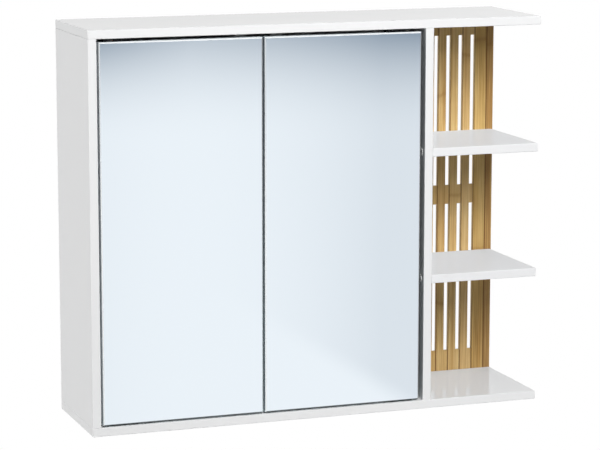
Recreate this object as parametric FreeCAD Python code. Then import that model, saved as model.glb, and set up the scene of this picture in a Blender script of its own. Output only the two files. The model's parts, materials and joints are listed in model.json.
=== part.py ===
import FreeCAD, Part
import os

Vector = FreeCAD.Vector

# Bathroom mirror cabinet: two mirror doors over a closed bay, three open bays beside it.
# Driving dimensions in millimetres. X runs to the right, Y towards the wall, Z up.
# The origin lies on the wall plane, midway between the two upper wall screws.

# Carcass boards
cabinet_width = 655.0
cabinet_height = 550.0
cabinet_depth = 170.0
board = 12.0
edge_round = 1.0
door_bay_width = 469.0
shelf_names = ("lower", "upper")
open_shelf_end_inset = 1.5
inner_shelf_setback = 60.0
inner_shelf_side_gap = 0.75
inner_shelf_back_gap = 0.5

# Back panel and the two rails that the wall screws pass through
back_panel_thickness = 3.0
back_panel_lap = 6.0
back_panel_gap = 0.2
rail_height = 60.0
wall_screw_drop = 30.0
wall_screw_spacing = 380.0
wall_hole_radius = 3.25

# Slotted bamboo panel behind the open bays
bamboo_thickness = 5.0
bamboo_back_inset = 4.0
bamboo_groove_depth = 4.0
bamboo_groove_gap = 0.1
bamboo_right_margin = 30.0
strip_pitch = 19.0
slot_width = 6.4
slot_left_margin = 10.0
slot_rows = 2
slot_rail = 27.75
slot_bottom_rail = 30.5

# Doors
hinge_side_gap_left = 3.0
hinge_side_gap_right = 6.5
centre_gap = 3.0
bottom_gap = 2.0
mirror_thickness = 4.0
mirror_arris = 1.8
tape_thickness = 0.8
tape_width = 20.0
tape_end_margin = 30.0
tape_strips = 3
door_board = 12.0
door_edge_round = 0.8

# Pivot hinges at the top and bottom corners of each door
plate_thickness = 2.0
plate_width = 8.0
plate_tail = 10.0
plate_reach = 32.0
plate_front_inset = 0.5
plate_pocket_gap = 0.1
washer_thickness = 0.5
washer_radius = 3.8
pin_radius = 2.0
pin_door_depth = 10.0
pin_panel_depth = 6.0
pin_from_door_edge = 18.0
pin_running_gap = 0.05
pin_free_gap = 0.4
plate_screw_first = 12.0
plate_screw_second = 25.0

# Push latches under the top panel, with their strike plates on the doors
latch_width = 14.0
latch_height = 20.0
latch_length = 60.0
latch_axis_drop = 12.0
latch_from_free_edge = 24.0
latch_to_strike = 4.0
ear_width = 10.0
ear_length = 16.0
ear_thickness = 3.0
plunger_radius = 4.0
plunger_length = 48.0
plunger_running_gap = 0.05
plunger_end_room = 2.0
plunger_rest_gap = 0.3
magnet_radius = 3.2
magnet_thickness = 2.0
strike_size = 14.0
strike_thickness = 1.0

# Door stop on the bottom panel
stop_width = 60.0
stop_depth = 12.0
stop_height = 10.0
stop_pad_thickness = 2.0
stop_pad_lift = 3.0
stop_rest_gap = 0.3
stop_screw_inset = 12.0

# Cam joints and dowels that hold the boards together
cam_radius = 5.0
cam_height = 9.0
cam_setback = 20.0
cam_front_inset = 45.0
cam_back_inset = 45.0
cam_slot_width = 1.4
cam_slot_depth = 1.2
bolt_thread_radius = 2.5
bolt_shaft_radius = 2.0
bolt_head_radius = 2.9
bolt_head_thickness = 2.5
bolt_bite = 8.0
dowel_radius = 3.0
dowel_bite = 7.0
dowel_reach = 16.0
rail_dowel_inset = 14.0

# Shelf supports
support_pin_radius = 2.5
support_pin_depth = 7.0
support_reach = 8.0
support_width = 10.0
support_height = 6.0
support_end_inset = 20.0

# Screws, screw caps and nails: radii and lengths
small_head_radius = 2.4
small_shank_radius = 1.2
small_head_height = 1.4
small_length = 9.0
medium_head_radius = 3.0
medium_shank_radius = 1.5
medium_head_height = 1.8
ear_screw_length = 11.0
stop_screw_length = 17.0
bamboo_screw_length = 25.0
large_head_radius = 4.0
large_shank_radius = 2.5
large_head_height = 3.0
large_length = 42.0
recess_width = 0.7
recess_share = 0.55
shelf_screw_front_inset = 13.5
shelf_screw_back_inset = 40.0
cap_radius = 5.5
cap_thickness = 1.0
cap_round = 0.4
nail_head_radius = 1.6
nail_head_height = 0.6
nail_shank_radius = 0.7
nail_length = 11.0
nails_up_each_side = 4
nails_along_each_end = 3
hole_gap = 0.05

# Places that follow from the driving dimensions
bay_left = -door_bay_width / 2
bay_right = door_bay_width / 2
left_face = bay_left - board
divider_right = bay_right + board
right_end = left_face + cabinet_width
front = -cabinet_depth
ceiling = wall_screw_drop
top = ceiling + board
bottom = top - cabinet_height
floor = bottom + board
inner_height = ceiling - floor
shelf_count = len(shelf_names)
bay_height = (inner_height - shelf_count * board) / (shelf_count + 1)
shelf_levels = [floor + (i + 1) * bay_height + i * board for i in range(shelf_count)]
bamboo_back = -bamboo_back_inset
bamboo_front = bamboo_back - bamboo_thickness
slotted_width = right_end - bamboo_right_margin - slot_left_margin - divider_right
slot_count = 1 + int((slotted_width - slot_width) // strip_pitch)
rail_middle = -back_panel_thickness - board / 2
top_gap = 2 * plate_thickness + washer_thickness
bottom_plate_recess = (2 * plate_thickness + washer_thickness - bottom_gap) / 2
door_width = (door_bay_width - hinge_side_gap_left - centre_gap - hinge_side_gap_right) / 2
door_top = ceiling - top_gap
door_bottom = floor + bottom_gap
mirror_back = front + mirror_thickness
board_front = mirror_back + tape_thickness
door_back = board_front + door_board
left_hinge_edge = bay_left + hinge_side_gap_left
right_hinge_edge = bay_right - hinge_side_gap_right
left_free_edge = left_hinge_edge + door_width
right_free_edge = right_hinge_edge - door_width
pin_y = board_front + plate_front_inset + plate_width / 2
latch_axis = ceiling - latch_axis_drop
strike_face = door_back + strike_thickness
latch_front = strike_face + latch_to_strike
plunger_front = strike_face + plunger_rest_gap
uprights = ((bay_left, -1), (bay_right, 1))
board_ends = ((ceiling, 1), (floor, -1))
small = 0.01


def block(x0, x1, y0, y1, z0, z1):
    # A box between pairs of limits, given in either order.
    low = Vector(min(x0, x1), min(y0, y1), min(z0, z1))
    return Part.makeBox(abs(x1 - x0), abs(y1 - y0), abs(z1 - z0), low)


def rod(radius, start, end):
    # A round bar from one point to another.
    way = end - start
    return Part.makeCylinder(radius, way.Length, start, way)


def rounded(shape, radius, chosen):
    # Rounds the edges whose bounding box the chooser accepts.
    edges = [edge for edge in shape.Edges if chosen(edge.BoundBox)]
    return shape.makeFillet(radius, edges)


def cut_all(shape, tools):
    # Removes every tool from the shape.
    return shape.cut(tools).removeSplitter()


def aimed(shape, point, direction):
    # Moves a shape built along +Z so that it starts at the point and runs along the direction.
    shape.Placement = FreeCAD.Placement(point, FreeCAD.Rotation(Vector(0, 0, 1), direction))
    return shape


def screw_form(head, shank, head_height, length, gap):
    # A countersunk screw along +Z, head face at zero, grown by the gap to serve as its hole.
    cone = Part.makeCone(head + gap, shank + gap, head_height)
    return cone.fuse(Part.makeCylinder(shank + gap, length + gap)).removeSplitter()


def cross_recess(head, head_height):
    # The cross that a screwdriver turns, cut into a head face at zero.
    half = head * recess_share
    arm = block(-half, half, -recess_width / 2, recess_width / 2, -small, head_height * recess_share)
    other = block(-recess_width / 2, recess_width / 2, -half, half, -small, head_height * recess_share)
    return arm.fuse(other)


def screw(point, direction, head, shank, head_height, length):
    form = screw_form(head, shank, head_height, length, 0).cut(cross_recess(head, head_height))
    return aimed(form, point, direction)


def screw_hole(point, direction, head, shank, head_height, length):
    return aimed(screw_form(head, shank, head_height, length, hole_gap), point, direction)


small_screw = (small_head_radius, small_shank_radius, small_head_height, small_length)
ear_screw = (medium_head_radius, medium_shank_radius, medium_head_height, ear_screw_length)
stop_screw = (medium_head_radius, medium_shank_radius, medium_head_height, stop_screw_length)
bamboo_screw = (medium_head_radius, medium_shank_radius, medium_head_height, bamboo_screw_length)
shelf_screw = (large_head_radius, large_shank_radius, large_head_height, large_length)


# Cam joints: one cam and bolt at the front and back of each end of both uprights

def cam_joints():
    for face, inward in uprights:
        for end, up in board_ends:
            for y in (front + cam_front_inset, -cam_back_inset):
                yield face, inward, end, up, y


def cam_lock(face, inward, end, up, y):
    centre = Vector(face, y, end - up * cam_setback)
    cam = rod(cam_radius, centre, centre + Vector(inward * cam_height, 0, 0))
    middle = face + inward * board / 2
    half = bolt_head_radius + hole_gap
    deep = centre.z - up * (bolt_head_thickness / 2 + hole_gap)
    rim = centre.z + up * (cam_radius + small)
    channel = block(middle - half, middle + half, y - half, y + half, deep, rim)
    arm = cam_radius * recess_share
    floor_x = face + inward * cam_slot_depth
    width = cam_slot_width / 2
    upright_arm = block(face - inward * small, floor_x, y - width, y + width, centre.z - arm, centre.z + arm)
    level_arm = block(face - inward * small, floor_x, y - arm, y + arm, centre.z - width, centre.z + width)
    return cut_all(cam, [channel, upright_arm, level_arm])


def cam_bolt(face, inward, end, up, y):
    middle = face + inward * board / 2
    tip = Vector(middle, y, end + up * bolt_bite)
    shoulder = Vector(middle, y, end)
    head_back = Vector(middle, y, end - up * (cam_setback + bolt_head_thickness / 2))
    head_front = Vector(middle, y, end - up * (cam_setback - bolt_head_thickness / 2))
    thread = rod(bolt_thread_radius, shoulder, tip)
    shaft = rod(bolt_shaft_radius, head_front, shoulder)
    head = rod(bolt_head_radius, head_back, head_front)
    return thread.fuse([shaft, head]).removeSplitter()


def cam_holes(face, inward, end, up, y):
    # The cam's blind hole and the bolt's way to it, both in the upright.
    centre = Vector(face, y, end - up * cam_setback)
    seat = rod(cam_radius + hole_gap, centre, centre + Vector(inward * (cam_height + hole_gap), 0, 0))
    middle = face + inward * board / 2
    way = rod(bolt_head_radius + hole_gap, Vector(middle, y, end), Vector(middle, y, centre.z))
    return [seat, way]


def bolt_hole(face, inward, end, up, y):
    # The threaded end's hole in the top or bottom panel.
    middle = face + inward * board / 2
    start = Vector(middle, y, end)
    return rod(bolt_thread_radius + hole_gap, start, start + Vector(0, 0, up * (bolt_bite + hole_gap)))


# Dowels: one in each end of both uprights, two in each end of both rails

def upright_dowel(face, inward, end, up, gap):
    middle = face + inward * board / 2
    start = Vector(middle, front / 2, end - up * (dowel_reach + gap))
    return rod(dowel_radius + gap, start, Vector(middle, front / 2, end + up * (dowel_bite + gap)))


def rail_dowel(face, inward, z, gap):
    start = Vector(face - inward * (dowel_reach + gap), rail_middle, z)
    return rod(dowel_radius + gap, start, Vector(face + inward * (dowel_bite + gap), rail_middle, z))


def rail_dowel_levels():
    for end, up in board_ends:
        yield end - up * rail_dowel_inset
        yield end - up * (rail_height - rail_dowel_inset)


def upright_dowels(gap):
    return [upright_dowel(face, inward, end, up, gap) for face, inward in uprights for end, up in board_ends]


def rail_dowels(gap):
    return [rail_dowel(face, inward, z, gap) for face, inward in uprights for z in rail_dowel_levels()]


# Back panel, its nails and the wall-screw holes

def wall_holes():
    through = Vector(0, board + back_panel_thickness + 2 * small, 0)
    for end, up in board_ends:
        for side in (-1, 1):
            start = Vector(side * wall_screw_spacing / 2, small, end - up * wall_screw_drop)
            yield rod(wall_hole_radius, start, start - through)


def back_panel_space(gap):
    lap = back_panel_lap + gap
    depth = back_panel_thickness + gap
    return block(bay_left - lap, bay_right + lap, -depth, 0, floor - lap, ceiling + lap)


def nail_points():
    half_lap = back_panel_lap / 2
    for x in (bay_left - half_lap, bay_right + half_lap):
        for i in range(nails_up_each_side):
            yield Vector(x, 0, floor + (i + 0.5) * inner_height / nails_up_each_side)
    for z in (floor - half_lap, ceiling + half_lap):
        for i in range(nails_along_each_end):
            yield Vector(bay_left + (i + 0.5) * door_bay_width / nails_along_each_end, 0, z)


def nail(point, gap):
    head = rod(nail_head_radius + gap, point, point - Vector(0, nail_head_height + gap, 0))
    shank = rod(nail_shank_radius + gap, point, point - Vector(0, nail_length + gap, 0))
    return head.fuse(shank).removeSplitter()


def nails(gap):
    return [nail(point, gap) for point in nail_points()]


def back_panel():
    return cut_all(back_panel_space(0), list(wall_holes()) + nails(hole_gap))


def rail(end, up):
    y0 = -back_panel_thickness - board
    shape = block(bay_left, bay_right, y0, -back_panel_thickness, end, end - up * rail_height)
    return cut_all(shape, list(wall_holes()) + rail_dowels(hole_gap))


# Bamboo panel behind the open bays

def bamboo_space(gap):
    # The panel's outline, grown by the gap to serve as the grooves that hold it.
    deep = bamboo_groove_depth + gap
    x0 = divider_right - deep
    x1 = right_end + gap
    return block(x0, x1, bamboo_front - gap, bamboo_back + gap, floor - deep, ceiling + deep)


def slot_right_wall(i):
    return right_end - bamboo_right_margin - i * strip_pitch


def bamboo_slots():
    length = (inner_height - slot_bottom_rail - slot_rows * slot_rail) / slot_rows
    for row in range(slot_rows):
        z0 = floor + slot_bottom_rail + row * (length + slot_rail)
        for i in range(slot_count):
            x1 = slot_right_wall(i)
            yield block(x1 - slot_width, x1, bamboo_front - small, bamboo_back + small, z0, z0 + length)


def bamboo_screw_points():
    slat_middle = slot_right_wall(slot_count - 1) + (strip_pitch - slot_width) / 2
    for level in shelf_levels:
        for x in (slat_middle, right_end - bamboo_right_margin / 2):
            yield Vector(x, bamboo_back, level + board / 2)


def bamboo_panel():
    holes = [screw_hole(point, Vector(0, -1, 0), *bamboo_screw) for point in bamboo_screw_points()]
    return cut_all(bamboo_space(0), list(bamboo_slots()) + holes)


# Shelves

def shelf_screw_points():
    for level in shelf_levels:
        for y in (front + shelf_screw_front_inset, -shelf_screw_back_inset):
            yield Vector(bay_right, y, level + board / 2)


def shelf_screw_holes():
    return [screw_hole(point, Vector(1, 0, 0), *shelf_screw) for point in shelf_screw_points()]


def open_shelf(level):
    x1 = right_end - open_shelf_end_inset
    shape = block(divider_right, x1, front, bamboo_front, level, level + board)
    free = lambda box: box.YMin < bamboo_front - small and box.XMax > divider_right + small
    shape = rounded(shape, edge_round, free)
    holes = [screw_hole(point, Vector(0, -1, 0), *bamboo_screw) for point in bamboo_screw_points()]
    return cut_all(shape, shelf_screw_holes() + holes)


def inner_shelf(level):
    x0 = bay_left + inner_shelf_side_gap
    x1 = bay_right - inner_shelf_side_gap
    y0 = front + inner_shelf_setback
    shape = block(x0, x1, y0, -back_panel_thickness - inner_shelf_back_gap, level, level + board)
    return rounded(shape, edge_round, lambda box: box.YMax < y0 + small and box.XLength > board)


def support_places():
    for level in shelf_levels:
        for face, inward in uprights:
            for y in (front + inner_shelf_setback + support_end_inset, -support_end_inset):
                yield face, inward, y, level


def support_pin(face, inward, y, level, gap):
    start = Vector(face, y, level - support_height / 2)
    return rod(support_pin_radius + gap, start, start + Vector(inward * (support_pin_depth + gap), 0, 0))


def shelf_support(face, inward, y, level):
    half = support_width / 2
    arm = block(face, face - inward * support_reach, y - half, y + half, level - support_height, level)
    return arm.fuse(support_pin(face, inward, y, level, 0)).removeSplitter()


# Pivot hinges: the fixed plates on the carcass, and the plates, pins and washers on the doors

def hinge_pins():
    # The edge that each door hangs on, the way it runs from there, and its pin's place along X.
    yield left_hinge_edge, 1, left_hinge_edge + pin_from_door_edge
    yield right_hinge_edge, -1, right_hinge_edge - pin_from_door_edge


def fixed_plate_face(end, up):
    # The height of the fixed plate's face that looks at the door.
    if up > 0:
        return end - plate_thickness
    return end - bottom_plate_recess + plate_thickness


def door_plate_face(end, up):
    return fixed_plate_face(end, up) - up * washer_thickness


def plate(pin_x, way, near, far, grown):
    # A hinge plate between two heights, grown all round its outline to serve as its pocket.
    x0 = pin_x - way * (plate_tail + grown)
    x1 = pin_x + way * (plate_reach + grown)
    half = plate_width / 2 + grown
    return block(x0, x1, pin_y - half, pin_y + half, near, far)


def pin_way(pin_x, end, up, radius):
    # The pin's run from inside the door into the top or bottom panel.
    edge = door_top if up > 0 else door_bottom
    start = Vector(pin_x, pin_y, edge - up * pin_door_depth)
    return rod(radius, start, Vector(pin_x, pin_y, end + up * pin_panel_depth))


def plate_screw_points(pin_x, way, face):
    for along in (plate_screw_first, plate_screw_second):
        yield Vector(pin_x + way * along, pin_y, face)


def fixed_plate_screws(build):
    # Screws, or their holes, that hold the fixed plates to the top and bottom panels.
    shapes = []
    for edge, way, pin_x in hinge_pins():
        for end, up in board_ends:
            for point in plate_screw_points(pin_x, way, fixed_plate_face(end, up)):
                shapes.append(build(point, Vector(0, 0, up), *small_screw))
    return shapes


def fixed_plates():
    shapes = []
    for edge, way, pin_x in hinge_pins():
        for end, up in board_ends:
            face = fixed_plate_face(end, up)
            shape = plate(pin_x, way, face, face + up * plate_thickness, 0)
            hole = pin_way(pin_x, end, up, pin_radius + pin_running_gap)
            shapes.append(cut_all(shape, [hole] + fixed_plate_screws(screw_hole)))
    return shapes


def door_plate_screws(pin_x, way, build):
    shapes = []
    for end, up in board_ends:
        for point in plate_screw_points(pin_x, way, door_plate_face(end, up)):
            shapes.append(build(point, Vector(0, 0, -up), *small_screw))
    return shapes


def door_plates(pin_x, way):
    shapes = []
    for end, up in board_ends:
        face = door_plate_face(end, up)
        shape = plate(pin_x, way, face, face - up * plate_thickness, 0)
        hole = pin_way(pin_x, end, up, pin_radius)
        shapes.append(cut_all(shape, [hole] + door_plate_screws(pin_x, way, screw_hole)))
    return shapes


def thrust_washers(pin_x):
    shapes = []
    for end, up in board_ends:
        start = Vector(pin_x, pin_y, door_plate_face(end, up))
        disc = rod(washer_radius, start, start + Vector(0, 0, up * washer_thickness))
        shapes.append(disc.cut(pin_way(pin_x, end, up, pin_radius)))
    return shapes


# Doors

def door_panel(edge, way, pin_x):
    far = edge + way * door_width
    shape = block(edge, far, board_front, door_back, door_bottom, door_top)
    shape = rounded(shape, door_edge_round, lambda box: box.YMin > door_back - small)
    tools = door_plate_screws(pin_x, way, screw_hole)
    tools += [pin_way(pin_x, end, up, pin_radius + hole_gap) for end, up in board_ends]
    low = door_plate_face(floor, -1)
    tools.append(plate(pin_x, way, low, low + plate_thickness, plate_pocket_gap))
    tools.append(screw_hole(strike_screw_point(far, way), Vector(0, -1, 0), *small_screw))
    return cut_all(shape, tools)


def mirror(edge, way):
    shape = block(edge, edge + way * door_width, front, mirror_back, door_bottom, door_top)
    edges = [line for line in shape.Edges if line.BoundBox.YMax < front + small]
    return shape.makeChamfer(mirror_arris, edges)


def mirror_tape(edge, way):
    z0 = door_bottom + tape_end_margin
    z1 = door_top - tape_end_margin
    strips = []
    for i in range(tape_strips):
        x0 = edge + way * (i + 0.5) * door_width / tape_strips - tape_width / 2
        strips.append(block(x0, x0 + tape_width, mirror_back, board_front, z0, z1))
    return strips


def latch_x(free_edge, way):
    return free_edge - way * latch_from_free_edge


def strike_screw_point(free_edge, way):
    # The strike plate's screw sits beside the plunger, nearer to the hinge.
    x = latch_x(free_edge, way) - way * (plunger_radius + strike_size / 2)
    return Vector(x, strike_face, latch_axis)


def strike_plate(free_edge, way):
    x0 = latch_x(free_edge, way) + way * strike_size / 2
    x1 = latch_x(free_edge, way) - way * (strike_size + plunger_radius)
    half = strike_size / 2
    shape = block(x0, x1, door_back, strike_face, latch_axis - half, latch_axis + half)
    return shape.cut(screw_hole(strike_screw_point(free_edge, way), Vector(0, -1, 0), *small_screw))


# Push latches

def ear_screw_points(x):
    for side in (-1, 1):
        y = latch_front + latch_length / 2
        yield Vector(x + side * (latch_width + ear_width) / 2, y, ceiling - ear_thickness)


def latch_housing(x):
    half = latch_width / 2
    middle = latch_front + latch_length / 2
    body = block(x - half, x + half, latch_front, latch_front + latch_length,
                 ceiling - latch_height, ceiling)
    reach = half + ear_width
    ears = block(x - reach, x + reach, middle - ear_length / 2, middle + ear_length / 2,
                 ceiling - ear_thickness, ceiling)
    shape = body.fuse(ears).removeSplitter()
    mouth = Vector(x, latch_front - small, latch_axis)
    depth = plunger_front + plunger_length + plunger_end_room - mouth.y
    bore = rod(plunger_radius + plunger_running_gap, mouth, mouth + Vector(0, depth, 0))
    holes = [screw_hole(point, Vector(0, 0, 1), *ear_screw) for point in ear_screw_points(x)]
    return cut_all(shape, [bore] + holes)


def magnet_space(x, gap):
    start = Vector(x, plunger_front, latch_axis)
    return rod(magnet_radius + gap, start, start + Vector(0, magnet_thickness, 0))


def latch_plunger(x):
    start = Vector(x, plunger_front, latch_axis)
    shape = rod(plunger_radius, start, start + Vector(0, plunger_length, 0))
    return shape.cut(magnet_space(x, hole_gap))


# Door stop

stop_middle = (left_free_edge + right_free_edge) / 2
stop_front = door_back + stop_rest_gap + stop_pad_thickness


def stop_screw_points():
    for side in (-1, 1):
        x = stop_middle + side * (stop_width / 2 - stop_screw_inset)
        yield Vector(x, stop_front + stop_depth / 2, floor + stop_height)


def stop_screw_holes():
    return [screw_hole(point, Vector(0, 0, -1), *stop_screw) for point in stop_screw_points()]


def door_stop():
    half = stop_width / 2
    shape = block(stop_middle - half, stop_middle + half, stop_front, stop_front + stop_depth,
                  floor, floor + stop_height)
    shape = rounded(shape, edge_round, lambda box: box.ZMin > floor + stop_height - small)
    return cut_all(shape, stop_screw_holes())


def door_stop_pad():
    half = stop_width / 2
    return block(stop_middle - half, stop_middle + half, stop_front - stop_pad_thickness, stop_front,
                 floor + stop_pad_lift, floor + stop_height - edge_round)


# Carcass boards

def end_board(end, up):
    # The top or the bottom panel, which runs the whole width of the cabinet.
    shape = block(left_face, right_end, front, 0, end, end + up * board)
    shape = rounded(shape, edge_round, lambda box: box.YMin < -small)
    tools = [back_panel_space(back_panel_gap), bamboo_space(bamboo_groove_gap)]
    tools += [bolt_hole(*joint) for joint in cam_joints() if joint[2] == end]
    tools += upright_dowels(hole_gap) + nails(hole_gap) + fixed_plate_screws(screw_hole)
    for edge, way, pin_x in hinge_pins():
        tools.append(pin_way(pin_x, end, up, pin_radius + pin_free_gap))
    if up > 0:
        for x in latch_places():
            tools += [screw_hole(point, Vector(0, 0, 1), *ear_screw) for point in ear_screw_points(x)]
    else:
        tools += stop_screw_holes()
        for edge, way, pin_x in hinge_pins():
            face = fixed_plate_face(end, up)
            tools.append(plate(pin_x, way, face, face + up * plate_thickness, plate_pocket_gap))
    return cut_all(shape, tools)


def latch_places():
    return [latch_x(left_free_edge, 1), latch_x(right_free_edge, -1)]


def upright(face, inward):
    # The left side panel or the centre divider, which stand between top and bottom panels.
    shape = block(face, face + inward * board, front, 0, floor, ceiling)
    shape = rounded(shape, edge_round, lambda box: box.YMax < front + small and box.ZLength > board)
    tools = [back_panel_space(back_panel_gap), bamboo_space(bamboo_groove_gap)]
    for joint in cam_joints():
        tools += cam_holes(*joint)
    tools += upright_dowels(hole_gap) + rail_dowels(hole_gap) + nails(hole_gap) + shelf_screw_holes()
    tools += [support_pin(*place, hole_gap) for place in support_places()]
    return cut_all(shape, tools)


def screw_cap(point):
    disc = rod(cap_radius, point, point - Vector(cap_thickness, 0, 0))
    return rounded(disc, cap_round, lambda box: box.XMax < bay_right - cap_thickness + small)


def cabinet():
    parts = {
        "top_panel": [end_board(ceiling, 1)],
        "bottom_panel": [end_board(floor, -1)],
        "left_side_panel": [upright(bay_left, -1)],
        "centre_divider": [upright(bay_right, 1)],
        "bamboo_panel": [bamboo_panel()],
        "back_panel": [back_panel()],
        "hanging_rail": [rail(ceiling, 1)],
        "lower_rail": [rail(floor, -1)],
        "shelf_supports": [shelf_support(*place) for place in support_places()],
        "cam_locks": [cam_lock(*joint) for joint in cam_joints()],
        "cam_bolts": [cam_bolt(*joint) for joint in cam_joints()],
        "dowels": upright_dowels(0) + rail_dowels(0),
        "open_shelf_screws": [screw(point, Vector(1, 0, 0), *shelf_screw) for point in shelf_screw_points()],
        "screw_caps": [screw_cap(point) for point in shelf_screw_points() if point.y < front / 2],
        "bamboo_screws": [screw(point, Vector(0, -1, 0), *bamboo_screw) for point in bamboo_screw_points()],
        "back_panel_nails": nails(0),
        "fixed_pivot_plates": fixed_plates(),
        "fixed_pivot_screws": fixed_plate_screws(screw),
        "latch_screws": [screw(point, Vector(0, 0, 1), *ear_screw)
                         for x in latch_places() for point in ear_screw_points(x)],
        "door_stop": [door_stop()],
        "door_stop_pad": [door_stop_pad()],
        "door_stop_screws": [screw(point, Vector(0, 0, -1), *stop_screw) for point in stop_screw_points()],
    }
    for name, level in zip(shelf_names, shelf_levels):
        parts[name + "_open_shelf"] = [open_shelf(level)]
        parts[name + "_inner_shelf"] = [inner_shelf(level)]
    return parts


def door(side, edge, way, pin_x):
    # One door and the latch that holds it.
    free_edge = edge + way * door_width
    x = latch_x(free_edge, way)
    pins = [pin_way(pin_x, end, up, pin_radius) for end, up in board_ends]
    strike_screw = screw(strike_screw_point(free_edge, way), Vector(0, -1, 0), *small_screw)
    return {
        side + "_door_board": [door_panel(edge, way, pin_x)],
        side + "_mirror": [mirror(edge, way)],
        side + "_mirror_tape": mirror_tape(edge, way),
        side + "_pivot_plates": door_plates(pin_x, way),
        side + "_pivot_pins": pins,
        side + "_thrust_washers": thrust_washers(pin_x),
        side + "_pivot_screws": door_plate_screws(pin_x, way, screw),
        side + "_strike_plate": [strike_plate(free_edge, way)],
        side + "_strike_screw": [strike_screw],
        side + "_latch_housing": [latch_housing(x)],
        side + "_latch_plunger": [latch_plunger(x)],
        side + "_latch_magnet": [magnet_space(x, 0)],
    }


def main():
    parts = cabinet()
    for side, hinge in zip(("left", "right"), hinge_pins()):
        parts.update(door(side, *hinge))
    os.makedirs("parts", exist_ok=True)
    for name, solids in parts.items():
        shape = solids[0] if len(solids) == 1 else Part.makeCompound(solids)
        shape.exportStep("parts/" + name + ".step")
    print(len(parts), "nodes written")


main()
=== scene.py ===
import json
import math
import bmesh
import bpy
from mathutils import Matrix, Vector

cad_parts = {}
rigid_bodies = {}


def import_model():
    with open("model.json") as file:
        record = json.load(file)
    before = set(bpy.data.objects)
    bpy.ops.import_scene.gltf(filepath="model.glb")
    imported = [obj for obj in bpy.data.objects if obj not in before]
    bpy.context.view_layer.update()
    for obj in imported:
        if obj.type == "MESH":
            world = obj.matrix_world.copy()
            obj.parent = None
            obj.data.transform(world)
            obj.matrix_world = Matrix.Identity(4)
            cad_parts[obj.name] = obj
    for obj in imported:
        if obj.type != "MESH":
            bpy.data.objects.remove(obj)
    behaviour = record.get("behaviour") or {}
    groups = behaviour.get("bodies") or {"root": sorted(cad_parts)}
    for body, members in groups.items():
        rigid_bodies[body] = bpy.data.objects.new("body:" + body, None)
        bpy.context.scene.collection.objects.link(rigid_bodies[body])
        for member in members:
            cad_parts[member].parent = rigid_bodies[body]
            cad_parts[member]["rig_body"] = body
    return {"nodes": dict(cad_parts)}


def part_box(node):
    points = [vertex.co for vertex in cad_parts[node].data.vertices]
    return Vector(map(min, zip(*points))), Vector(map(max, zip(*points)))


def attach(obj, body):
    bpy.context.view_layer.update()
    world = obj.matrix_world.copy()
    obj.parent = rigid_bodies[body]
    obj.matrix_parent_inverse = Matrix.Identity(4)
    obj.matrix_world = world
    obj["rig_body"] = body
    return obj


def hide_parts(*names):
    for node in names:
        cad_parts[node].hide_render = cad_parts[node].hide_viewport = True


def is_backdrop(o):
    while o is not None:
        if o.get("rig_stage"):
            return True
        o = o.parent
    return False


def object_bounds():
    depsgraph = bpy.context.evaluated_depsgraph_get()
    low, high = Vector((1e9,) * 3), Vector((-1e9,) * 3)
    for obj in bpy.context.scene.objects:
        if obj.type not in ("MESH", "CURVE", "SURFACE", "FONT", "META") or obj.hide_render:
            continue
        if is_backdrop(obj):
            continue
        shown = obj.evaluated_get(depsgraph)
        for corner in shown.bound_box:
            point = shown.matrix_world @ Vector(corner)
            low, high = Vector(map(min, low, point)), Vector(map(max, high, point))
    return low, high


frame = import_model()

mm = 0.001
mergeDistance = 1e-6  # corners nearer than this, in metres, are one
facingShare = 0.5  # a face looks along an axis where that part of its normal is larger
plainWhite = (1, 1, 1, 1)
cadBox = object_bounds()
cadNodes = frame["nodes"]
slotOf = {name: node.data.materials[0].name for name, node in cadNodes.items()}
scene = bpy.context.scene
scene.view_settings.view_transform = "Standard"
print("frame loaded:", len(cadNodes), "nodes")


# Small helpers for node trees

def addNode(tree, kind, inputs=None, **settings):
    node = tree.nodes.new(kind)
    for key, value in settings.items():
        setattr(node, key, value)
    for key, value in (inputs or {}).items():
        if isinstance(value, bpy.types.NodeSocket):
            tree.links.new(value, node.inputs[key])
        else:
            node.inputs[key].default_value = value
    return node


def fromNode(tree, kind, inputs=None, **settings):  # a new node's first output
    return addNode(tree, kind, inputs, **settings).outputs[0]


def calc(tree, operation, *values):
    return fromNode(tree, "ShaderNodeMath", dict(enumerate(values)), operation=operation)


def vectorCalc(tree, operation, *values):
    return fromNode(tree, "ShaderNodeVectorMath", dict(enumerate(values)), operation=operation)


def measured(tree, operation, *values):  # the number that a length or a dot product gives
    node = addNode(tree, "ShaderNodeVectorMath", dict(enumerate(values)), operation=operation)
    return node.outputs["Value"]


def split(tree, vector):
    return addNode(tree, "ShaderNodeSeparateXYZ", {0: vector}).outputs


def join(tree, x, y, z):
    return fromNode(tree, "ShaderNodeCombineXYZ", {0: x, 1: y, 2: z})


def blendColor(tree, amount, first, second):
    inputs = {0: amount, 6: first, 7: second}
    return addNode(tree, "ShaderNodeMix", inputs, data_type="RGBA").outputs[2]


def remap(tree, value, low, high, toLow=0.0, toHigh=1.0):
    inputs = {0: value, 1: low, 2: high, 3: toLow, 4: toHigh}
    return fromNode(tree, "ShaderNodeMapRange", inputs, interpolation_type="SMOOTHSTEP")


def noise(tree, vector, scale, detail=2.0, roughness=0.5):
    inputs = {"Vector": vector, "Scale": scale, "Detail": detail, "Roughness": roughness}
    return fromNode(tree, "ShaderNodeTexNoise", inputs)


def objectCoords(tree):
    return addNode(tree, "ShaderNodeTexCoord").outputs["Object"]


def normalOf(tree):
    return addNode(tree, "ShaderNodeNewGeometry").outputs["Normal"]


def bump(tree, height, strength, distance):
    return fromNode(tree, "ShaderNodeBump", {"Height": height, "Strength": strength, "Distance": distance})


def mixShaders(tree, amount, first, second):
    return fromNode(tree, "ShaderNodeMixShader", {0: amount, 1: first, 2: second})


# Shared surface effects, one shader group each

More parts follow.
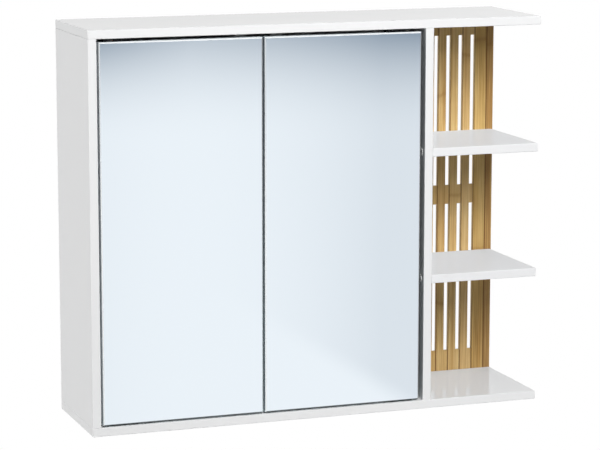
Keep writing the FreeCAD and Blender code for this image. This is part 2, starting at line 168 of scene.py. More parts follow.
def shaderGroup(name, inputs, outputs):
    group = bpy.data.node_groups.new(name, "ShaderNodeTree")
    for label, kind, value in inputs:
        socket = group.interface.new_socket(label, in_out="INPUT", socket_type="NodeSocket" + kind)
        socket.default_value = value
    for label, kind in outputs:
        group.interface.new_socket(label, in_out="OUTPUT", socket_type="NodeSocket" + kind)
    source = group.nodes.new("NodeGroupInput").outputs
    result = group.nodes.new("NodeGroupOutput").inputs
    return group, source, result


def makePaintTone():  # slow drift and fine mottle in a painted or moulded colour
    finer, driftShare, mottleShare = 60.0, 0.6, 0.4
    inputs = [("Color", "Color", plainWhite), ("Scale", "Float", 5.0), ("Amount", "Float", 0.03)]
    group, source, result = shaderGroup("paintTone", inputs, [("Color", "Color")])
    coords = objectCoords(group)
    drift = noise(group, coords, source["Scale"])
    fineScale = calc(group, "MULTIPLY", source["Scale"], finer)
    mottle = noise(group, coords, fineScale, detail=3.0, roughness=0.6)
    both = calc(group, "MULTIPLY_ADD", mottle, mottleShare, calc(group, "MULTIPLY", drift, driftShare))
    level = calc(group, "SUBTRACT", 1.0, calc(group, "MULTIPLY", both, source["Amount"]))
    shaded = vectorCalc(group, "MULTIPLY", source["Color"], join(group, level, level, level))
    group.links.new(shaded, result["Color"])
    return group


def makeHandling():  # faint wipe marks that change the gloss
    stretch = (1.0, 1.0, 3.0)
    inputs = [("Base", "Float", 0.3), ("Spread", "Float", 0.06), ("Scale", "Float", 9.0)]
    group, source, result = shaderGroup("handling", inputs, [("Roughness", "Float")])
    stretched = vectorCalc(group, "MULTIPLY", objectCoords(group), stretch)
    smear = noise(group, stretched, source["Scale"], detail=4.0, roughness=0.65)
    swing = calc(group, "MULTIPLY", calc(group, "SUBTRACT", smear, 0.5), source["Spread"])
    group.links.new(calc(group, "ADD", source["Base"], swing), result["Roughness"])
    return group


def makeOrangePeel():  # the fine ripple of a sprayed or moulded skin
    inputs = [("Scale", "Float", 400.0)]
    group, source, result = shaderGroup("orangePeel", inputs, [("Height", "Float")])
    group.links.new(noise(group, objectCoords(group), source["Scale"], detail=1.0), result["Height"])
    return group


def makeEdgeRub():  # edges and corners, where a finish is rubbed
    flat, rounded = 0.995, 0.75  # how far the eased normal still agrees with the face's own
    inputs = [("Radius", "Float", 0.8 * mm)]
    group, source, result = shaderGroup("edgeRub", inputs, [("Mask", "Float")])
    easedNormal = fromNode(group, "ShaderNodeBevel", {"Radius": source["Radius"]}, samples=4)
    agreement = measured(group, "DOT_PRODUCT", easedNormal, normalOf(group))
    group.links.new(remap(group, agreement, flat, rounded), result["Mask"])
    return group


def makeWoodFibre():  # long fibres that run along Z
    finer = (3.1, 3.1, 2.3)
    inputs = [("Vector", "Vector", (0, 0, 0)), ("Across", "Float", 700.0), ("Along", "Float", 9.0)]
    group, source, result = shaderGroup("woodFibre", inputs, [("Mask", "Float"), ("Fine", "Float")])
    across, along = source["Across"], source["Along"]
    coarse = vectorCalc(group, "MULTIPLY", source["Vector"], join(group, across, across, along))
    group.links.new(noise(group, coarse, 1.0, detail=4.0, roughness=0.6), result["Mask"])
    fine = vectorCalc(group, "MULTIPLY", coarse, finer)
    group.links.new(noise(group, fine, 1.0, detail=3.0, roughness=0.55), result["Fine"])
    return group


paintTone, handling, orangePeel = makePaintTone(), makeHandling(), makeOrangePeel()
edgeRub, woodFibre = makeEdgeRub(), makeWoodFibre()


def useGroup(tree, group, inputs):
    return addNode(tree, "ShaderNodeGroup", inputs, node_tree=group).outputs


def toned(tree, color, look):  # a colour with its drift and mottle
    inputs = {"Color": color, "Scale": look["toneScale"], "Amount": look["toneAmount"]}
    return useGroup(tree, paintTone, inputs)["Color"]


def wiped(tree, look):  # a roughness with its wipe marks
    inputs = {"Base": look["roughness"], "Spread": look["spread"], "Scale": look["wipeScale"]}
    return useGroup(tree, handling, inputs)["Roughness"]


def rippled(tree, look):  # the normal of a sprayed, moulded or ground skin
    ripple = useGroup(tree, orangePeel, {"Scale": look["peelScale"]})["Height"]
    return bump(tree, ripple, look["peel"], look["peelDepth"])


def fibres(tree, vector, scales):
    across, along = scales
    return useGroup(tree, woodFibre, {"Vector": vector, "Across": across, "Along": along})


def newMaterial(name, constants):
    made = bpy.data.materials.new(name)
    made.use_nodes = True
    shader = made.node_tree.nodes["Principled BSDF"]
    for label, value in constants.items():
        shader.inputs[label].default_value = value
    return made, made.node_tree, shader.inputs


def wire(tree, shader, feeds):
    for label, socket in feeds.items():
        tree.links.new(socket, shader[label])


# White semi-gloss lacquer on the boards and doors
lacquerLook = {
    "color": (0.866, 0.870, 0.874, 1), "toneScale": 4.0, "toneAmount": 0.02,
    "ior": 1.5, "gloss": 0.07, "roughness": 0.055, "spread": 0.015, "wipeScale": 8.0,
    "peelScale": 300.0, "peel": 0.004, "peelDepth": 0.3 * mm,
}
shelfLook = dict(lacquerLook, color=(0.868, 0.873, 0.882, 1), gloss=0.002)  # the open shelves shine less
doorPaintedShadeLook = dict(lacquerLook, color=(0.74, 0.80, 0.835, 1))  # the boards behind the mirrors, painted darker and cooler than the white lacquer: painted shade with a teal tint for the door gaps
otherLacquers = {
    "shelfLacquer": {"look": shelfLook, "nodes": ("lower_open_shelf", "upper_open_shelf")},
    "doorLacquer": {"look": doorPaintedShadeLook, "nodes": ("left_door_board", "right_door_board")},
}


def makeLacquer(name, look):
    made, tree, shader = newMaterial(name, {"IOR": look["ior"], "Specular IOR Level": look["gloss"]})
    wire(tree, shader, {
        "Base Color": toned(tree, look["color"], look),
        "Roughness": wiped(tree, look),
        "Normal": rippled(tree, look),
    })
    return made


# Edge-glued bamboo strips under clear lacquer
bambooLook = {
    "dark": (0.345, 0.177, 0.044, 1), "middle": (0.635, 0.41, 0.135, 1), "light": (0.785, 0.575, 0.25, 1),
    "rosy": (0.69, 0.465, 0.25, 1), "joint": (0.17, 0.065, 0.015, 1), "knuckle": (0.36, 0.19, 0.055, 1),
    "streak": (0.50, 0.26, 0.075, 1),
    "fineGrain": (650.0, 8.0), "broadGrain": (70.0, 4.0), "streakGrain": (230.0, 2.2),  # across, along
    "fineShare": 0.55, "broadShare": 0.45, "tintShare": 0.22, "shiftAcross": 3.1, "shiftAlong": 7.3,
    "darkRange": (0.34, 0.52), "lightRange": (0.49, 0.66), "rosyTurns": 5.0, "rosyMost": 0.45,
    "streakRange": (0.50, 0.64), "streakMost": 0.5, "fleckRange": (0.56, 0.70), "fleckMost": 0.55,
    "knuckleEvery": 0.31, "knuckleStart": 20.0, "knuckleWander": 0.012,
    "haloRange": (0.06, 0.0), "haloMost": 0.25, "ringRange": (0.014, 0.002), "ringMost": 0.32,
    "seamRange": (0.07, 0.025), "seamMost": 0.88, "flankRange": (0.9, 0.5),
    "ior": 1.5, "gloss": 0.25, "roughness": 0.42, "spread": 0.14, "wipeScale": 14.0,
    "relief": 0.25, "reliefDepth": 0.15 * mm,
    "bounce": (0.48, 0.49, 0.50, 1), "bounceGrey": 0.95,  # keeps the boards beside it a neutral white
}
stripSizes = {
    "pitch": 19 * mm, "slotWidth": 6.4 * mm, "slotRail": 27.75 * mm, "bottomRail": 30.5 * mm,
    "rightMargin": 30 * mm, "groove": 4 * mm, "rows": 2, "slotted": 7,
    "glueGap": 0.08 * mm, "easedEdge": 0.35 * mm, "seed": 470,
}


def fromHalf(tree, value):  # how far a value lies from halfway between whole numbers
    return calc(tree, "ABSOLUTE", calc(tree, "SUBTRACT", calc(tree, "FRACT", value), 0.5))


def makeBamboo(look, jointLine):
    made, tree, shader = newMaterial("bamboo", {"IOR": look["ior"], "Specular IOR Level": look["gloss"]})
    tint = addNode(tree, "ShaderNodeAttribute", attribute_name="tint").outputs["Fac"]
    x, y, z = split(tree, objectCoords(tree))
    along = calc(tree, "MULTIPLY_ADD", tint, look["shiftAlong"], z)  # each strip has its own grain
    grainSpace = join(tree, calc(tree, "MULTIPLY_ADD", tint, look["shiftAcross"], x), y, along)
    fine = fibres(tree, grainSpace, look["fineGrain"])
    broad = fibres(tree, grainSpace, look["broadGrain"])["Mask"]
    shade = calc(tree, "MULTIPLY", broad, look["broadShare"])
    shade = calc(tree, "MULTIPLY_ADD", fine["Mask"], look["fineShare"], shade)
    shade = calc(tree, "MULTIPLY_ADD", calc(tree, "SUBTRACT", tint, 0.5), look["tintShare"], shade)
    color = blendColor(tree, remap(tree, shade, *look["darkRange"]), look["dark"], look["middle"])
    color = blendColor(tree, remap(tree, shade, *look["lightRange"]), color, look["light"])
    rosy = calc(tree, "FRACT", calc(tree, "MULTIPLY", tint, look["rosyTurns"]))
    color = blendColor(tree, calc(tree, "MULTIPLY", rosy, look["rosyMost"]), color, look["rosy"])
    streak = fibres(tree, grainSpace, look["streakGrain"])["Mask"]
    wander = calc(tree, "MULTIPLY_ADD", broad, look["knuckleWander"], along)  # knuckles aren't quite level
    wander = calc(tree, "ADD", wander, look["knuckleStart"])
    knuckle = fromHalf(tree, calc(tree, "DIVIDE", wander, look["knuckleEvery"]))
    marks = [(streak, "streak", "streak"), (fine["Fine"], "fleck", "dark"),
             (knuckle, "halo", "dark"), (knuckle, "ring", "knuckle")]
    for mask, mark, paint in marks:
        amount = remap(tree, mask, *look[mark + "Range"], toHigh=look[mark + "Most"])
        color = blendColor(tree, amount, color, look[paint])
    step = calc(tree, "DIVIDE", calc(tree, "SUBTRACT", x, jointLine), stripSizes["pitch"])
    fromJoint = fromHalf(tree, calc(tree, "ADD", step, 0.5))
    seam = remap(tree, fromJoint, *look["seamRange"], toHigh=look["seamMost"])
    flank = calc(tree, "ABSOLUTE", split(tree, normalOf(tree))[0])  # seams don't darken the slots' sides
    seam = calc(tree, "MULTIPLY", seam, remap(tree, flank, *look["flankRange"]))
    color = blendColor(tree, seam, color, look["joint"])
    bounced = addNode(tree, "ShaderNodeLightPath").outputs["Is Diffuse Ray"]
    color = blendColor(tree, calc(tree, "MULTIPLY", bounced, look["bounceGrey"]), color, look["bounce"])
    wire(tree, shader, {
        "Base Color": color,
        "Roughness": wiped(tree, look),
        "Normal": bump(tree, fine["Mask"], look["relief"], look["reliefDepth"]),
    })
    return made


# Silvered glass: the mirror face, its polished arris and its ground edge, with painted shade and painted
# light on the arris and the edge
mirrorLook = {
    "silver": {
        "color": (0.83, 0.895, 0.95, 1), "toneScale": 3.0, "toneAmount": 0.012,
        "roughness": 0.012, "spread": 0.012, "wipeScale": 5.0,
    },
    "arris": {
        # arris faces that turn downward take a dark colour: painted shade
        "color": (0.92, 0.955, 0.975, 1), "low": (0.14, 0.16, 0.17, 1),
        "levelSilver": 0.2, "uprightSilver": 0.4,
        "toneScale": 40.0, "toneAmount": 0.08, "roughness": 0.12, "spread": 0.08, "wipeScale": 60.0,
    },
    # the ground edge is painted dark near the top and pale cyan low down: painted shade above, painted
    # reflected light below
    "edge": {
        # the edge's upward faces take a pale colour, a painted highlight
        "high": (0.02, 0.045, 0.06, 1), "low": (0.80, 0.97, 1.0, 1), "top": (0.82, 0.87, 0.89, 1),
        "paintedDarkFrom": -0.08, "paintedLightFrom": -0.40, "toneScale": 60.0, "toneAmount": 0.15,
        "ior": 1.52, "coat": 0.4, "coatRoughness": 0.1, "roughness": 0.22, "spread": 0.1, "wipeScale": 90.0,
        "peelScale": 3000.0, "peel": 0.1, "peelDepth": 0.05 * mm,
    },
}


def makeSilver(look):
    made, tree, shader = newMaterial("mirrorSilver", {"Metallic": 1.0})
    wire(tree, shader, {"Base Color": toned(tree, look["color"], look), "Roughness": wiped(tree, look)})
    return made


def makeArris(look):
    made, tree, shader = newMaterial("mirrorArris", {})
    normal = split(tree, normalOf(tree))
    upright = calc(tree, "GREATER_THAN", calc(tree, "ABSOLUTE", normal[0]), facingShare)
    # faces turned downward are painted dark: painted shade on the lower arris
    under = calc(tree, "LESS_THAN", normal[2], -facingShare)
    wire(tree, shader, {  # the upright lines mirror more, so that they show the gap beside them
        "Metallic": calc(tree, "MULTIPLY_ADD", upright, look["uprightSilver"], look["levelSilver"]),
        "Base Color": toned(tree, blendColor(tree, under, look["color"], look["low"]), look),
        "Roughness": wiped(tree, look),
    })
    return made


def makeGlassEdge(look):
    constants = {"IOR": look["ior"], "Coat Weight": look["coat"], "Coat Roughness": look["coatRoughness"]}
    made, tree, shader = newMaterial("glassEdge", constants)
    height = split(tree, objectCoords(tree))[2]
    # faces turned upward take a pale colour: a painted highlight for the lit top edge
    paintedTopMask = calc(tree, "GREATER_THAN", split(tree, normalOf(tree))[2], facingShare)
    # the edge colour runs by height from dark at the top to pale cyan at the bottom: painted shade and
    # painted reflected light
    paintedLightShare = remap(tree, height, look["paintedDarkFrom"], look["paintedLightFrom"])
    color = blendColor(tree, paintedTopMask, blendColor(tree, paintedLightShare, look["high"], look["low"]), look["top"])
    wire(tree, shader, {
        "Base Color": toned(tree, color, look),
        "Roughness": wiped(tree, look),
        "Normal": rippled(tree, look),
    })
    return made


# Metals: cast zinc, plated steel, the nickel of the magnets and the black coat of the hinge plates
plainMetal = {
    "toneScale": 30.0, "toneAmount": 0.12, "spread": 0.18, "wipeScale": 70.0, "rubRadius": 0.35 * mm,
    "brushWay": (0.05, 1.0, 1.0), "brushed": 0.08, "brushDepth": 0.05 * mm,
}
metalLooks = {
    "zinc": dict(plainMetal, color=(0.60, 0.60, 0.62, 1), bright=(0.78, 0.78, 0.80, 1),
                 roughness=0.36, brush=900.0),
    "steel": dict(plainMetal, color=(0.64, 0.64, 0.65, 1), bright=(0.82, 0.82, 0.83, 1),
                  roughness=0.27, brush=1800.0),
    "magnet": dict(plainMetal, color=(0.42, 0.42, 0.43, 1), bright=(0.66, 0.66, 0.67, 1),
                   roughness=0.22, brush=600.0),
    "black_steel": dict(plainMetal, color=(0.018, 0.018, 0.02, 1), bright=(0.08, 0.08, 0.085, 1),
                        roughness=0.45, brush=1500.0),
}


def makeMetal(name, look):
    made, tree, shader = newMaterial(name, {"Metallic": 1.0})
    face = toned(tree, look["color"], look)
    rubbed = useGroup(tree, edgeRub, {"Radius": look["rubRadius"]})["Mask"]
    lines = noise(tree, vectorCalc(tree, "MULTIPLY", objectCoords(tree), look["brushWay"]), look["brush"])
    wire(tree, shader, {
        "Base Color": blendColor(tree, rubbed, face, look["bright"]),
        "Roughness": wiped(tree, look),
        "Normal": bump(tree, lines, look["brushed"], look["brushDepth"]),
    })
    return made


# Moulded and soft pieces: plastic, nylon, rubber and foam
plainMoulded = {
    "ior": 1.48, "softReach": 0.002, "toneScale": 25.0, "toneAmount": 0.08,
    "spread": 0.1, "wipeScale": 40.0, "peelDepth": 0.1 * mm,
}
mouldedLooks = {
    "white_plastic": dict(plainMoulded, color=(0.80, 0.80, 0.79, 1), roughness=0.42,
                          peelScale=2600.0, peel=0.12, soft=0.0),
    "nylon": dict(plainMoulded, color=(0.76, 0.74, 0.67, 1), roughness=0.38,
                  peelScale=1500.0, peel=0.06, soft=0.08),
    "soft_pad": dict(plainMoulded, color=(0.60, 0.60, 0.60, 1), roughness=0.62,
                     peelScale=1900.0, peel=0.18, soft=0.05),
    "foam_tape": dict(plainMoulded, color=(0.17, 0.17, 0.175, 1), roughness=0.85,
                      peelScale=1300.0, peel=0.5, soft=0.0),
}


def makeMoulded(name, look):
    constants = {
        "IOR": look["ior"], "Subsurface Weight": look["soft"], "Subsurface Scale": look["softReach"],
    }
    made, tree, shader = newMaterial(name, constants)
    wire(tree, shader, {
        "Base Color": toned(tree, look["color"], look),
        "Roughness": wiped(tree, look),
        "Normal": rippled(tree, look),
    })
    return made


# White-faced hardboard, with the screen pattern of the press on its raw side
hardboardLook = {
    "white": {"color": (0.84, 0.84, 0.82, 1), "toneScale": 6.0, "toneAmount": 0.04},
    "raw": {"color": (0.40, 0.27, 0.16, 1), "toneScale": 45.0, "toneAmount": 0.5},
    "ior": 1.45, "roughness": 0.5, "rawRougher": 0.25, "spread": 0.12, "wipeScale": 20.0,
    "screen": 560.0, "pressed": 0.35, "pressDepth": 0.2 * mm,
}


def makeHardboard(look):
    made, tree, shader = newMaterial("hardboard", {"IOR": look["ior"]})
    coords = split(tree, objectCoords(tree))
    turns = look["screen"] * math.tau
    wires = [calc(tree, "SINE", calc(tree, "MULTIPLY", coords[i], turns)) for i in (0, 2)]
    rawSide = calc(tree, "GREATER_THAN", split(tree, normalOf(tree))[1], facingShare)
    white, raw = (toned(tree, look[side]["color"], look[side]) for side in ("white", "raw"))
    weave = calc(tree, "MULTIPLY", calc(tree, "MULTIPLY", *wires), rawSide)
    wire(tree, shader, {
        "Base Color": blendColor(tree, rawSide, white, raw),
        "Roughness": calc(tree, "MULTIPLY_ADD", rawSide, look["rawRougher"], wiped(tree, look)),
        "Normal": bump(tree, weave, look["pressed"], look["pressDepth"]),
    })
    return made


# Beech of the dowels
beechLook = {
    "dark": (0.50, 0.31, 0.17, 1), "light": (0.70, 0.50, 0.31, 1), "grain": (900.0, 40.0),
    "grainRange": (0.35, 0.65), "ior": 1.45, "roughness": 0.6, "spread": 0.1, "wipeScale": 50.0,
    "relief": 0.3, "reliefDepth": 0.1 * mm,
}


def makeBeech(look):
    made, tree, shader = newMaterial("beech", {"IOR": look["ior"]})
    fibre = fibres(tree, objectCoords(tree), look["grain"])
    lighter = remap(tree, fibre["Mask"], *look["grainRange"])
    wire(tree, shader, {
        "Base Color": blendColor(tree, lighter, look["dark"], look["light"]),
        "Roughness": wiped(tree, look),
        "Normal": bump(tree, fibre["Fine"], look["relief"], look["reliefDepth"]),
    })
    return made


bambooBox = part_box("bamboo_panel")
jointLine = bambooBox[1].x - stripSizes["rightMargin"]
finishes = {
    "white_lacquer": makeLacquer("lacquer", lacquerLook),
    "bamboo": makeBamboo(bambooLook, jointLine),
    "white_hardboard": makeHardboard(hardboardLook),
    "beech": makeBeech(beechLook),
    "mirror_glass": makeSilver(mirrorLook["silver"]),
}
finishes.update({name: makeMetal(name + "Metal", look) for name, look in metalLooks.items()})
finishes.update({name: makeMoulded(name + "Skin", look) for name, look in mouldedLooks.items()})
for name, node in cadNodes.items():
    node.material_slots[0].material = finishes[slotOf[name]]
for name, variant in otherLacquers.items():
    finish = makeLacquer(name, variant["look"])
    for node in variant["nodes"]:
        cadNodes[node].material_slots[0].material = finish
print("finishes made:", len(finishes))


# Making pieces

def evaluated(holder):  # the plain mesh that an object's modifiers give
    bpy.context.view_layer.update()
    return bpy.data.meshes.new_from_object(holder.evaluated_get(bpy.context.evaluated_depsgraph_get()))


def linkObject(name, mesh):
    piece = bpy.data.objects.new(name, mesh)
    scene.collection.objects.link(piece)
    return piece


def eased(mesh, width, angle=40):  # bevels the sharp edges and shades the rest smooth
    holder = linkObject("easing", mesh)
    modifier = holder.modifiers.new("ease", "BEVEL")
    modifier.width = width
    modifier.segments = 2
    modifier.limit_method = "ANGLE"
    modifier.angle_limit = math.radians(angle)
    result = evaluated(holder)
    bpy.data.objects.remove(holder)
    result.shade_smooth()
    result.set_sharp_from_angle(angle=math.radians(angle))
    return result


def standFor(piece, *names):  # a finished piece takes the place of CAD nodes on their body
    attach(piece, cadNodes[names[0]]["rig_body"])
    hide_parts(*names)


def grown(name, tree, base, values):  # runs a geometry tree once and keeps its mesh
    holder = linkObject(name + "Seed", base)
    modifier = holder.modifiers.new(tree.name, "NODES")
    modifier.node_group = tree
    for item in tree.interface.items_tree:
        if item.in_out == "INPUT" and item.name in values:
            modifier[item.identifier] = values[item.name]
    result = evaluated(holder)
    bpy.data.objects.remove(holder)
    return result


def pointMesh(name, points, **attributes):
    mesh = bpy.data.meshes.new(name)
    mesh.from_pydata(points, [], [])
    for label, values in attributes.items():
        isVector = hasattr(values[0], "__len__")
        layer = mesh.attributes.new(label, "FLOAT_VECTOR" if isVector else "FLOAT", "POINT")
        for item, value in zip(layer.data, values):
            setattr(item, "vector" if isVector else "value", value)
    return mesh


def mergedCopy(node):  # a CAD node's loose triangles, joined at their corners
    work = bmesh.new()
    work.from_mesh(cadNodes[node].data)
    bmesh.ops.remove_doubles(work, verts=work.verts, dist=mergeDistance)
    return work


def geometryTree(name, counts, sizes):
    tree = bpy.data.node_groups.new(name, "GeometryNodeTree")
    kinds = {"Geometry": "Geometry", "Material": "Material"}
    kinds.update({label: "Int" for label in counts})
    kinds.update({label: "Float" for label in sizes})
    for label, kind in kinds.items():
        tree.interface.new_socket(label, in_out="INPUT", socket_type="NodeSocket" + kind)
    tree.interface.new_socket("Geometry", in_out="OUTPUT", socket_type="NodeSocketGeometry")
    return tree, tree.nodes.new("NodeGroupInput").outputs, tree.nodes.new("NodeGroupOutput").inputs


def joined(tree, *parts):
    node = addNode(tree, "GeometryNodeJoinGeometry")
    for part in parts:
        tree.links.new(part, node.inputs[0])
    return node.outputs[0]


def namedValue(tree, name, kind="FLOAT"):
    return fromNode(tree, "GeometryNodeInputNamedAttribute", {"Name": name}, data_type=kind)


def moved(tree, geometry, way):
    return fromNode(tree, "GeometryNodeTransform", {"Geometry": geometry, **way})


def block(tree, x, y, z):
    return fromNode(tree, "GeometryNodeMeshCube", {"Size": join(tree, x, y, z)})


def endTree(tree, instances, material, result):  # one plain mesh in its finish
    solid = fromNode(tree, "GeometryNodeRealizeInstances", {"Geometry": instances})
    dressed = fromNode(tree, "GeometryNodeSetMaterial", {"Geometry": solid, "Material": material})
    tree.links.new(dressed, result["Geometry"])


# Bamboo panel: strips with slots along their right edges, beside plain strips

def slottedStrip(tree, source):  # a grid of 2 columns is stretched to the slots' sizes and thickened
    rows = calc(tree, "MULTIPLY_ADD", source["Rows"], 2.0, 2.0)
    gridInputs = {"Size X": 1.0, "Size Y": 1.0, "Vertices X": 3, "Vertices Y": rows}
    grid = fromNode(tree, "GeometryNodeMeshGrid", gridInputs)
    position = split(tree, fromNode(tree, "GeometryNodeInputPosition"))
    x, y = position[0], position[1]
    column = calc(tree, "MULTIPLY", calc(tree, "ADD", x, 0.5), 2.0)
    last = calc(tree, "SUBTRACT", rows, 1.0)
    row = calc(tree, "MULTIPLY", calc(tree, "ADD", y, 0.5), last)
    oddRow = calc(tree, "GREATER_THAN", calc(tree, "MODULO", row, 2.0), 1.0)  # faces lie at 0.5, 1.5, 2.5
    isSlot = calc(tree, "MULTIPLY", calc(tree, "GREATER_THAN", x, 0.0), oddRow)
    holes = {"Geometry": grid, "Selection": isSlot}
    comb = fromNode(tree, "GeometryNodeDeleteGeometry", holes, domain="FACE")
    slat = calc(tree, "SUBTRACT", source["Strip Pitch"], source["Slot Width"])
    slat = calc(tree, "SUBTRACT", slat, source["Glue Gap"])
    newX = calc(tree, "MULTIPLY", calc(tree, "GREATER_THAN", column, 0.5), slat)
    newX = calc(tree, "MULTIPLY_ADD", calc(tree, "GREATER_THAN", column, 1.5), source["Slot Width"], newX)
    level = calc(tree, "ROUND", row)
    half = calc(tree, "DIVIDE", level, 2.0)
    newZ = calc(tree, "MULTIPLY", calc(tree, "CEIL", half), source["Slot Rail"])
    newZ = calc(tree, "MULTIPLY_ADD", calc(tree, "FLOOR", half), source["Slot Length"], newZ)
    deeper = calc(tree, "SUBTRACT", source["Bottom Rail"], source["Slot Rail"])
    newZ = calc(tree, "MULTIPLY_ADD", calc(tree, "GREATER_THAN", level, 0.5), deeper, newZ)
    isTop = calc(tree, "GREATER_THAN", level, calc(tree, "SUBTRACT", last, 0.5))
    atEnd = calc(tree, "SUBTRACT", isTop, calc(tree, "LESS_THAN", level, 0.5))
    newZ = calc(tree, "MULTIPLY_ADD", atEnd, source["Groove"], newZ)  # both ends reach into the boards
    places = {"Geometry": comb, "Position": join(tree, newX, newZ, 0.0)}
    shaped = fromNode(tree, "GeometryNodeSetPosition", places)
    thicker = {"Mesh": shaped, "Offset Scale": source["Thickness"], "Individual": False}
    raised = fromNode(tree, "GeometryNodeExtrudeMesh", thicker, mode="FACES")
    under = fromNode(tree, "GeometryNodeFlipFaces", {"Mesh": shaped})
    shell = {"Geometry": joined(tree, raised, under), "Distance": mergeDistance}
    closed = fromNode(tree, "GeometryNodeMergeByDistance", shell)
    return moved(tree, closed, {"Rotation": (math.pi / 2, 0, 0)})


def plainStrip(tree, source):
    height = calc(tree, "MULTIPLY_ADD", source["Groove"], 2.0, source["Inner Height"])
    back = calc(tree, "MULTIPLY", source["Thickness"], -0.5)
    middle = join(tree, 0.5, back, calc(tree, "MULTIPLY", source["Inner Height"], 0.5))
    return moved(tree, block(tree, 1.0, source["Thickness"], height), {"Translation": middle})


def bambooTree():
    sizes = ["Strip Pitch", "Slot Width", "Slot Length", "Slot Rail", "Bottom Rail", "Groove", "Glue Gap",
             "Thickness", "Inner Height"]
    tree, source, result = geometryTree("bambooStrips", ["Rows", "Seed"], sizes)
    draw = {7: fromNode(tree, "GeometryNodeInputIndex"), 8: source["Seed"]}
    random = addNode(tree, "FunctionNodeRandomValue", draw, data_type="FLOAT").outputs[1]
    store = {"Geometry": source["Geometry"], "Name": "tint", "Value": random}
    points = fromNode(tree, "GeometryNodeStoreNamedAttribute", store, data_type="FLOAT", domain="POINT")
    hasSlots = namedValue(tree, "hasSlots")
    combs = fromNode(tree, "GeometryNodeInstanceOnPoints", {
        "Points": points, "Selection": calc(tree, "GREATER_THAN", hasSlots, 0.5),
        "Instance": slottedStrip(tree, source),
    })
    narrow = calc(tree, "SUBTRACT", namedValue(tree, "width"), source["Glue Gap"])
    plains = fromNode(tree, "GeometryNodeInstanceOnPoints", {
        "Points": points, "Selection": calc(tree, "LESS_THAN", hasSlots, 0.5),
        "Instance": plainStrip(tree, source), "Scale": join(tree, narrow, 1.0, 1.0),
    })
    endTree(tree, joined(tree, combs, plains), source["Material"], result)
    return tree


def makeBambooPanel(sizes):
    low, high = bambooBox
    floorLevel = low.z + sizes["groove"]
    innerHeight = high.z - low.z - 2 * sizes["groove"]
    slotLength = (innerHeight - sizes["bottomRail"] - sizes["rows"] * sizes["slotRail"]) / sizes["rows"]
    corners, widths, hasSlots = [], [], []

    def addStrip(left, right, slotted):
        corners.append((left, high.y, floorLevel))
        widths.append(right - left)
        hasSlots.append(float(slotted))

    trimmed = jointLine + sizes["pitch"]
    addStrip(trimmed, high.x, False)
    addStrip(jointLine, trimmed, False)
    for i in range(sizes["slotted"]):
        right = jointLine - i * sizes["pitch"]
        addStrip(right - sizes["pitch"], right, True)
    addStrip(low.x, jointLine - sizes["slotted"] * sizes["pitch"], False)
    base = pointMesh("stripCorners", corners, width=widths, hasSlots=hasSlots)
    values = {
        "Strip Pitch": sizes["pitch"], "Slot Width": sizes["slotWidth"], "Slot Length": slotLength,
        "Slot Rail": sizes["slotRail"], "Bottom Rail": sizes["bottomRail"], "Groove": sizes["groove"],
        "Glue Gap": sizes["glueGap"], "Thickness": high.y - low.y, "Inner Height": innerHeight,
        "Rows": sizes["rows"], "Seed": sizes["seed"], "Material": finishes["bamboo"],
    }
    mesh = eased(grown("bambooPanel", bambooTree(), base, values), sizes["easedEdge"])
    standFor(linkObject("bamboo_strips", mesh), "bamboo_panel")


makeBambooPanel(stripSizes)
print("bamboo panel grown")


# Screws and nails: heads and shanks measured on the frame, grown at the same places.
# Head heights and recesses are shares of the head's radius, or of its width or height
screwLook = {
    "headShare": 0.6, "recessWidth": 0.16, "recessReach": 0.62, "recessDepth": 0.7, "sides": 28,
    "easedEdge": 0.08 * mm, "sharpAngle": 30,
}
nailLook = dict(screwLook, headShare=0.375, easedEdge=0.12 * mm)
endReach = 1e-5  # points nearer than this to a screw's end, in metres, lie on that end


def solidsOf(node):  # the corner points of each separate solid in a node
    work = mergedCopy(node)
    left = set(work.verts)
    while left:
        edge = [left.pop()]
        found = list(edge)
        while edge:
            for line in edge.pop().link_edges:
                for vertex in line.verts:
                    if vertex in left:
                        left.remove(vertex)
                        edge.append(vertex)
                        found.append(vertex)
        yield [vertex.co.copy() for vertex in found]
    work.free()


def screwSpots(node):  # head point, aim and radii of each screw in a node
    spots = []
    for points in solidsOf(node):
        low = Vector([min(p[i] for p in points) for i in range(3)])
        high = Vector([max(p[i] for p in points) for i in range(3)])
        size = high - low
        axis = max(range(3), key=lambda i: size[i])
        middle = (low + high) / 2
        u, v = (i for i in range(3) if i != axis)

        def reach(end):
            near = [p for p in points if abs(p[axis] - end) < endReach]
            return max(math.hypot(p[u] - middle[u], p[v] - middle[v]) for p in near)

        lowReach, highReach = reach(low[axis]), reach(high[axis])
        way = 1 if lowReach > highReach else -1
        head = middle.copy()
        head[axis] = low[axis] if way > 0 else high[axis]
        aim = Vector((0, 0, 0))
        aim[axis] = way
        spots.append({"head": head, "aim": aim, "headRadius": max(lowReach, highReach),
                      "shankRadius": min(lowReach, highReach), "length": size[axis]})
    return spots


def bothOf(tree, operation, inputs, second):  # a boolean whose second socket takes two meshes
    node = addNode(tree, "GeometryNodeMeshBoolean", inputs, operation=operation)
    tree.links.new(second, node.inputs["Mesh 2"])
    return node.outputs["Mesh"]


